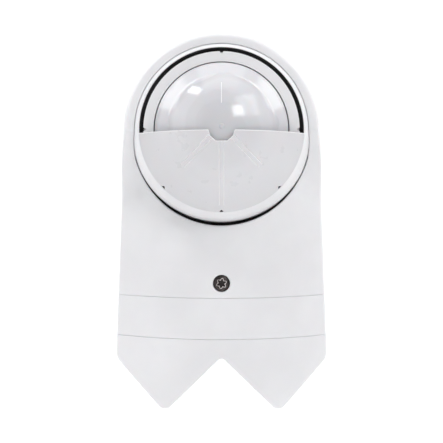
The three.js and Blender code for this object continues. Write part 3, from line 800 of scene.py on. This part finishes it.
def smooth(piece):
    """Smooth shading that leaves the sharp edges crisp."""
    mesh = piece.data
    mesh.shade_smooth()
    bm = bmesh.new()
    bm.from_mesh(mesh)
    for edge in bm.edges:
        edge.smooth = len(edge.link_faces) == 2 and edge.calc_face_angle(0.0) < SHARP_EDGE
    bm.to_mesh(mesh)
    bm.free()
    even = piece.modifiers.new("even_normals", "WEIGHTED_NORMAL")
    even.keep_sharp = True


def finished(piece, name, body, slot):
    """Names a piece, gives it its material and body, and hides the CAD node that it stands for."""
    piece.name = name
    piece.data.name = name
    piece.data.materials.clear()
    piece.data.materials.append(MATERIALS[slot])
    smooth(piece)
    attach(piece, body)
    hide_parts(name)
    return piece


def second_finish(piece, slot, chosen):
    """Gives another material to the faces that chosen picks by their places and their normals' y."""
    piece.data.materials.append(MATERIALS[slot])
    faces = piece.data.polygons
    places = np.array([(face.center.x, face.center.z) for face in faces]) / MM
    facing = np.array([face.normal.y for face in faces])
    for face, picked in zip(faces, chosen(places, facing)):
        if picked:
            face.material_index = 1


# ---------------------------------------------------------------- the housing's pieces


def socket_bar(r, p0, p1):
    """A bar about the ball's depth axis, at depths measured from the ball's centre."""
    return bar(r, HEAD_DEPTH + p0, HEAD_DEPTH + p1, HEAD_X, HEAD_Z, 128)


def ball_space(r):
    """A sphere about the ball's centre."""
    profile = [(0, -r)] + arc(r, -r, r, 90)[1:-1] + [(0, r)]
    return turned("tool", profile, 192)


def front_cover():
    """The cover with the hood round the ball, the ball's socket and the pocket for its screw."""
    piece = front_piece("front_cover", low=UPPER_SEAM)
    root = HEAD_DEPTH + HOOD_ROOT
    cheeks_low = HEAD_Z - SLOPE_LENGTH
    hollow = cut(
        inner_solid(WALL, 0.0),
        socket_bar(SOCKET_OUTER, 0, 60),
        block(-60, 60, root, 98, HEAD_Z, HEAD_Z + 60),
        block(-60, -30, root, 98, cheeks_low, HEAD_Z + 1),
        block(30, 60, root, 98, cheeks_low, HEAD_Z + 1),
    )
    piece = cut(piece, hollow, ball_space(LIP_SOCKET_R), socket_bar(39.2, -3.3, 0))
    boss = bar(4.4, FRONT - 8, FRONT - 1.2, 0, SCREW_Z)
    way = bar(2.1, 0, 90, 0, SCREW_Z, 48)
    flare = [(-2.4, 3.5), (-0.6, 3.5), (-0.3, 3.58), (-0.12, 3.75), (0.05, 4.1), (4, 4.1)]
    profile = [(0, FRONT - 2.4)] + [(r, FRONT + p) for p, r in flare] + [(0, FRONT + 4)]
    pocket = turned("tool", profile, 96, 0, SCREW_Z, 0)
    piece = cut(joined(piece, boss), way, pocket)
    finished(piece, "front_cover", "housing", "housing_plastic")


def seam_lip(z):
    """The band that closes a seam from inside."""
    tongue = inner_solid(WALL + 0.2, COVER_REAR, z - 2.0, z + 1.4)
    foot = inner_solid(WALL - 0.1, COVER_REAR, z - 2.0, z - 0.2)
    return cut(joined(tongue, foot), inner_solid(WALL + 1.4, 0.0))


def lower_covers():
    """The control band and the chin cover, each with the band behind its upper seam."""
    for name, low, high in (("control_band", LOWER_SEAM, UPPER_SEAM), ("chin_cover", None, LOWER_SEAM)):
        piece = cut(front_piece(name, low, high), inner_solid(WALL, 0.0))
        finished(joined(piece, seam_lip(high)), name, "housing", "housing_plastic")


def cover_seal():
    outer = prism("cover_seal", outline(0.5), RIM_FRONT + 0.04, -SEAL_LOW.y)
    piece = cut(outer, prism("tool", outline(WALL - 0.3), 0, 20))
    finished(piece, "cover_seal", "housing", "seal_rubber")


def back_plate():
    """The tray that hangs on the wall, with its rim, board stand-offs, screw pillar and cable holes."""
    outer = prism("back_plate", outline(0.15), 0, 0.5)
    outer = joined(outer, prism("tool", outline(0.0), 0.35, RIM_FRONT - 0.3))
    outer = joined(outer, prism("tool", outline(0.2), RIM_FRONT - 0.5, RIM_FRONT))
    piece = cut(outer, prism("tool", outline(WALL), PLATE, 20))
    stands = [middle_of(f"board_screw_{screw}") for screw in range(1, 5)]
    under_board = -sides_of("main_board")[1].y - 0.05
    piece = joined(piece, *[bar(3, PLATE - 1, under_board, x, z, 32) for x, z in stands])
    piece = joined(piece, bar(4.2, PLATE - 1, FRONT - 8.4, 0, SCREW_Z, 48))
    holes = [bar(1.3, PLATE, 40, x, z, 24) for x, z in stands]
    holes.append(bar(1.9, FRONT - 17.4, 90, 0, SCREW_Z, 24))
    for side in ("left", "right"):
        holes.append(bar(6.2, -1, 10, *middle_of(f"cable_grommet_{side}"), 48))
    for x in (-33.5, 33.5):
        for z in (-12.0, -44.0):
            slot = [(a + x, b + z + (2 if b > 0 else -2)) for a, b in circle(2.5, 32)]
            holes.append(prism("tool", slot, -1, 10))
    for screw in (1, 2):
        holes.append(bar(1.3, 0.6, 10, middle_of(f"post_screw_{screw}")[0], HEAD_Z, 24))
    finished(cut(piece, *holes), "back_plate", "housing", "housing_plastic")


def lobed(r, turn):
    """An outline with six lobes that swing 0.4 out and in."""
    points = []
    for k in range(180):
        a = 2 * math.pi * k / 180
        reach = r + 0.4 * math.cos(6 * a)
        points.append((reach * math.cos(a + turn), reach * math.sin(a + turn)))
    return points


def lobed_plug(sections, z, turn):
    """A six-lobed plug from (radius, depth) sections."""
    rings = [(lobed(r, turn), p) for r, p in sections]
    count = len(rings[0][0])
    points = [(x, -p, z + dz) for ring, p in rings for x, dz in ring]
    last = (len(rings) - 1) * count
    faces = [list(range(count)), list(range(last + count - 1, last - 1, -1))]
    for start in range(0, last, count):
        faces += [[start + k, start + (k + 1) % count, start + (k + 1) % count + count, start + k + count]
                  for k in range(count)]
    return new_piece("tool", points, faces)


def cover_screw():
    """A pan-head screw with a six-lobed recess, with a painted glint on the chamfer round the recess."""
    shank = [(0, -14), (1.2, -14), (1.75, -12.8), (1.75, 0)]
    head = [(3.4, 0), (3.4, 1.2), (2.9, 1.8), (1.8, 2.05), (0, 2.1)]
    profile = softened(shank + head, 0.3, 4, closed=False)
    piece = turned("cover_screw", profile, 96, 0, SCREW_Z, FRONT - 2.35)
    top = FRONT - 0.3
    sections = [(1.5, top - 1.4), (1.65, top - 0.22), (2.1, top + 0.08), (2.1, top + 1)]
    recess = cut(lobed_plug(sections, SCREW_Z, 0.35), bar(0.6, FRONT - 4, top - 0.5, 0, SCREW_Z, 24))
    piece = finished(cut(piece, recess), "cover_screw", "housing", "dark_steel")

    # Painted glint: faces on the chamfer round the recess get a lighter steel.
    def painted_glint_faces(places, facing):
        from_axis = np.hypot(places[:, 0], places[:, 1] - SCREW_Z)
        return (from_axis > 1.2) & (from_axis < 2.6) & (facing > -0.95) & (facing < -0.3)

    second_finish(piece, "glint_painted_steel", painted_glint_faces)


def lathed(name, body, slot, profile, radius, sides=192, x=HEAD_X, z=HEAD_Z, depth=HEAD_DEPTH):
    """A finished round piece from its profile, with the profile's corners rounded by the radius."""
    piece = turned(name, softened(profile, radius), sides, x, z, depth)
    finished(piece, name, body, slot)


def socket_seal():
    profile = [(37.35, -3), (38.9, -3), (38.9, -0.3), (37.35, -0.3)]
    lathed("socket_seal", "housing", "seal_rubber", profile, 0.4)


def cable_grommets():
    profile = [(3.2, 0.4), (6.0, 0.4), (6.0, 3.1), (7.8, 3.1), (7.8, 4.6), (3.9, 7.0), (3.2, 7.0)]
    for side in ("left", "right"):
        name = f"cable_grommet_{side}"
        lathed(name, "housing", "seal_rubber", profile, 0.35, 96, *middle_of(name), 0.0)


# ---------------------------------------------------------------- the head's pieces


def ball_front():
    profile = arc(BALL_R, 0.1, 16.75, 40) + [(32.75, 16.75), (32.75, 10.1), (27.5, 10.1), (27.5, 8.1)]
    profile += arc(BALL_INNER, 8.1, 0.1, 12)
    piece = turned("ball_front", softened(profile, 0.2), 256)
    holes = []
    for screw in (1, 2, 3):
        x, z = middle_of(f"frame_screw_{screw}")
        holes.append(bar(1.3, HEAD_DEPTH, HEAD_DEPTH + 9.5, x, z, 24))
    finished(cut(piece, *holes), "ball_front", "head", "head_plastic")


def ball_rear():
    profile = arc(BALL_R, -19.6, -0.1, 40) + [(34.3, -0.1), (34.3, 2.6), (33.2, 2.6), (33.2, -2.2)]
    profile += arc(BALL_INNER, -3, -19.6 * BALL_INNER / BALL_R, 24)
    lathed("ball_rear", "head", "head_plastic", profile, 0.3, 256)


def lens_ring():
    """The flat ring around the lens, with a small nick at each quarter."""
    wall = [(29.6, 10.15), (31.05, 10.15), (31.05, 17.2)]
    face = [(LENS_EDGE, 17.2), (LENS_EDGE, 15.4), (29.6, 15.4)]
    piece = turned("lens_ring", softened(wall + face, 0.2, 4), 256)
    notch = [(-2.2, 33), (0, 29.9), (2.2, 33)]
    nicks = []
    for quarter in range(4):
        nick = prism("tool", notch, HEAD_DEPTH + 14.3, HEAD_DEPTH + 30, HEAD_X, HEAD_Z)
        nicks.append(turn_about_head(nick, 90 * quarter))
    finished(cut(piece, *nicks), "lens_ring", "head", "head_plastic")


def lens_gasket():
    """The rubber ring in the groove round the lens ring, with a thin lip on the groove's outer wall."""
    profile = [(31.15, 10.15), (32.7, 10.15), (32.7, 16.3), (32.4, 16.3), (32.4, 14.0), (31.15, 14.0)]
    lathed("lens_gasket", "head", "seal_rubber", profile, 0.12)


def fresnel_lens():
    """The domed lens, with its flange, its stepped rim, a moulding seam and fine rings on the inside."""
    outside = [(26.5, 11.4), (26.5, 17.5), (22.0, 21.4), (21.4, 21.9)] + dome(21.2, 22.2, 29.9, 40)[:-2]
    outside += [(1.05, 29.88), (0.85, 30.1), (0.4, 30.2), (0, 30.2)]
    inside = []
    for k, (r, p) in enumerate(dome(20.5, 21.6, 29.2, 60)):
        inside.append((r, p - (0.12 if k % 2 else 0.0)))
    flange = [(25.6, 10.2), (29.3, 10.2), (29.3, 11.4)]
    profile = softened(flange + outside[:3], 0.3, 3, closed=False)
    profile += outside[3:] + inside[::-1] + [(25.6, 17.1)]
    piece = turned("fresnel_lens", profile, 256)
    shell = turned("tool", dome(21.2, 22.4, 30.1, 60) + dome(21.2, 21.8, 29.5, 60)[::-1])
    low, high = LENS_SEAM
    ridge = block(-LENS_SEAM_HALF, LENS_SEAM_HALF, 0, 120, HEAD_Z + low, HEAD_Z + high)
    piece = finished(joined(piece, kept(shell, ridge)), "fresnel_lens", "head", "lens_plastic")

    # Painted highlight: the seam's ridge gets the lighter plastic.
    def on_seam(places, facing):
        x, z = places[:, 0], places[:, 1] - HEAD_Z
        return (np.abs(x) < LENS_SEAM_HALF + 0.01) & (z > low - 0.1) & (z < high + 0.1) & (facing < 0)

    second_finish(piece, "highlight_painted_plastic", on_seam)


def stepped(path, spacing):
    """The path with points added so that no step is longer than the spacing."""
    points = []
    for a, b in zip(path, path[1:]):
        a, b = np.array(a, float), np.array(b, float)
        steps = max(math.ceil(np.linalg.norm(b - a) / spacing), 1)
        points += [a + (b - a) * k / steps for k in range(steps)]
    return np.array(points + [np.array(path[-1], float)])


def mask_cut_edge():
    """The mask's straight edge with the cut-out at the lens's middle, from left to right."""
    end = math.sqrt(MASK_LIP_R ** 2 - MASK_EDGE ** 2)
    right = [(2.2, -5.7), (4.3, -3.8), (5.1, MASK_EDGE), (end, MASK_EDGE)]
    return stepped([(-x, z) for x, z in right[::-1]] + right, 0.5)


def mask_rim():
    """The mask's round edge with a nick at each score line, from right to left."""
    end = math.degrees(math.asin(-MASK_EDGE / MASK_LIP_R))
    nick = [(1.39, MASK_LIP_R), (1.2, 32.5), (0, 31.95), (-1.2, 32.5), (-1.39, MASK_LIP_R)]
    # Each point is an angle in degrees and a radius.
    polar = [(-end - k * (180 - 2 * end) / 200, MASK_LIP_R) for k in range(201)]
    polar = [(a, r) for a, r in polar if min(abs(a + 90 - score) for score in SCORES) > 1.7]
    polar += [(score - 90 + a, r) for score in SCORES for a, r in nick]
    polar.sort(reverse=True)
    return np.array([(r * math.cos(math.radians(a)), r * math.sin(math.radians(a))) for a, r in polar])


def score_distance(points):
    """How far each point of the mask is from the nearest score line."""
    nearest = np.full(len(points), 9.0)
    for angle, reach in SCORES.items():
        a = math.radians(angle)
        across = points[:, 0] * math.cos(a) + points[:, 1] * math.sin(a)
        along = points[:, 0] * math.sin(a) - points[:, 1] * math.cos(a)
        beyond = np.maximum(along - reach, 0) + np.maximum(SCORE_START - along, 0)
        nearest = np.minimum(nearest, np.hypot(np.abs(across) - SCORE_HALF, beyond))
    return nearest


def cap_depth(r, base, apex, points):
    """The depth of a dome over each point."""
    rise = apex - base
    radius = (r * r + rise * rise) / (2 * rise)
    out = np.minimum(np.hypot(points[:, 0], points[:, 1]), r)
    return apex - radius + np.sqrt(radius ** 2 - out ** 2)


def mask_samples(loop, cut_edge):
    """Points all over the mask: rings, rows beside the cut edge and rows along the score lines."""
    rings = []
    for r in list(np.arange(5, 31, 0.9)) + [31.3, 31.34, 31.8, 32.19, 32.22, 32.8]:
        rings += circle(r, int(2 * math.pi * r / 0.9))
    rings = np.array(rings)
    rings = rings[(distance_to(rings, cut_edge) > 0.75) & (score_distance(rings) > 0.35)]
    beside = np.vstack([cut_edge + (0, -step) for step in (0.06, 0.14, 0.24, 0.36, 0.55)])
    beside = beside[score_distance(beside) > 0.3]
    rows = []
    for angle, reach in SCORES.items():
        cosine, sine = math.cos(math.radians(angle)), math.sin(math.radians(angle))
        for side in (-SCORE_HALF, SCORE_HALF):
            for step in (-SCORE_WIDTH, -0.1, 0, 0.1, SCORE_WIDTH):
                across = side + step
                for along in np.arange(SCORE_START, reach, 0.7):
                    rows.append((across * cosine + along * sine, across * sine - along * cosine))
    points = np.vstack([rings, beside, np.array(rows)])
    points = points[crossings(points, loop)]
    return points[distance_to(points, loop) > 0.04]


def lens_mask():
    """Half a dome over the lens, with scores for cutting it smaller, and painted highlights on them and
    at its cut edge.
    """
    cut_edge = mask_cut_edge()
    loop = np.vstack([cut_edge, mask_rim()[1:-1]])
    there_and_back = np.vstack([cut_edge, cut_edge[-2:0:-1]])
    centre = np.array([0, HEAD_Z])

    def front(points):
        points = points - centre
        from_axis = np.hypot(points[:, 0], points[:, 1])
        depth = cap_depth(MASK_R, MASK_BASE, MASK_APEX, points)
        lip = np.interp(from_axis, [MASK_R, 32.8, MASK_LIP_R], [MASK_BASE, 17.2, 16.98])
        depth = np.where(from_axis > MASK_R, lip, depth)
        depth = depth - SCORE_DEPTH * np.clip(1 - score_distance(points) / SCORE_WIDTH, 0, 1)
        edge = distance_to(points, there_and_back)
        return HEAD_DEPTH + depth + 0.15 * np.exp(-(edge / 0.3) ** 2) - rounding(edge, 0.2)

    def rear(points):
        points = points - centre
        from_axis = np.hypot(points[:, 0], points[:, 1])
        depth = cap_depth(MASK_SKIRT, 17.3, 31.0, points)
        # The rim reaches back into the groove, and the lip outside it rests on the ball.
        depth = np.where(from_axis > 31.32, 14.3, depth)
        return HEAD_DEPTH + np.where(from_axis > MASK_R, MASK_LIP_REAR, depth)

    samples = mask_samples(loop, there_and_back)
    piece = relief("lens_mask", [loop + centre], samples + centre, front, rear)
    finished(piece, "lens_mask", "mask", "mask_plastic")

    # Painted highlights: faces on the score lines and along the cut edge get the lighter plastic.
    def painted_highlight_faces(places, facing):
        places = places - centre
        on_score = score_distance(places) < 0.14
        on_edge = distance_to(places, there_and_back) < 0.3
        return (on_score | on_edge) & (facing < 0.2)

    second_finish(piece, "highlight_painted_plastic", painted_highlight_faces)


# ---------------------------------------------------------------- the pieces inside


def inner_pieces():
    """The CAD pieces that stay: each gets its finish and softened edges."""
    for part in frame["record"]["subparts"]:
        piece = frame["nodes"][part["node"]]
        if piece.hide_render:
            continue
        piece.data.materials.clear()
        piece.data.materials.append(MATERIALS[part["material_slot"]])
        edge = piece.modifiers.new("edge", "BEVEL")
        edge.width = 0.15 * MM
        edge.segments = 2
        edge.limit_method = "ANGLE"
        edge.angle_limit = math.radians(35)


# ---------------------------------------------------------------- stage, lights and camera


def backdrop():
    """A pale sweep: a floor that curves up into a wall behind the object."""
    half, floor, back, bend = 3.0, -0.2, 1.3, 0.5
    section = [(-2.0, floor)]
    for k in range(25):
        a = math.pi / 2 * k / 24
        section.append((back - bend + bend * math.sin(a), floor + bend - bend * math.cos(a)))
    section.append((back, 3.0))
    points = [(x, y, z) for y, z in section for x in (-half, half)]
    faces = [[2 * k, 2 * k + 1, 2 * k + 3, 2 * k + 2] for k in range(len(section) - 1)]
    mesh = bpy.data.meshes.new("backdrop")
    mesh.from_pydata(points, [], faces)
    mesh.shade_smooth()
    sweep = bpy.data.objects.new("backdrop", mesh)
    bpy.context.scene.collection.objects.link(sweep)
    paper = Finish("paper", (0.93, 0.93, 0.93), 0.9)
    paper.tint(paper.noise(3, 2), (0.925, 0.925, 0.925), (0.94, 0.94, 0.94))
    mesh.materials.append(paper.bump(paper.noise(300, 4), 0.05, 0.2).material)


def area_light(name, place, target, size, power, tall=None):
    data = bpy.data.lights.new(name, "AREA")
    data.energy = power
    data.size = size
    if tall is not None:
        data.shape = "RECTANGLE"
        data.size_y = tall
    light = bpy.data.objects.new(name, data)
    light.location = place
    light.rotation_euler = (Vector(target) - Vector(place)).to_track_quat("-Z", "Y").to_euler()
    bpy.context.scene.collection.objects.link(light)


def lights():
    """Two compact lights for the lens's highlights, and broad ones for the housing and the backdrop."""
    middle = Vector((0, -0.04, 0.02))
    key = Vector((0.364, -0.801, 0.474)) * 0.85
    second = Vector((-0.496, -0.310, 0.811)) * 0.9
    area_light("key", middle + key, middle, 0.21, 1.2)
    area_light("second", middle + second, middle, 0.26, 1.1, tall=0.15)
    area_light("side", middle + Vector((0.55, -0.6, 0.58)), middle, 0.5, 2.0)
    area_light("fill", middle + Vector((-0.88, -0.64, 0.11)), middle, 1.0, 2.2)
    area_light("top", middle + Vector((0, -0.12, 1.09)), middle, 0.8, 2.4)
    area_light("backdrop_left", (-1.0, 0.25, 0.9), (-0.2, 1.3, 0.1), 1.0, 11)
    area_light("backdrop_right", (1.0, 0.25, 0.9), (0.2, 1.3, 0.1), 1.0, 11)
    world = bpy.data.worlds.new("studio")
    world.use_nodes = True
    world.node_tree.nodes["Background"].inputs["Color"].default_value = (0.98, 0.975, 1.0, 1)
    world.node_tree.nodes["Background"].inputs["Strength"].default_value = 0.33
    bpy.context.scene.world = world


def camera():
    data = bpy.data.cameras.new("camera")
    data.sensor_width = 36
    data.lens = 73.46
    view = bpy.data.objects.new("camera", data)
    view.location = (0, -0.414, 0)
    view.rotation_euler = (math.pi / 2, 0, 0)
    bpy.context.scene.collection.objects.link(view)
    bpy.context.scene.camera = view
    bpy.context.scene.view_settings.view_transform = "Standard"


front_cover()
lower_covers()
cover_seal()
back_plate()
cover_screw()
socket_seal()
cable_grommets()
ball_front()
ball_rear()
lens_ring()
lens_gasket()
fresnel_lens()
lens_mask()
inner_pieces()
backdrop()
lights()
camera()
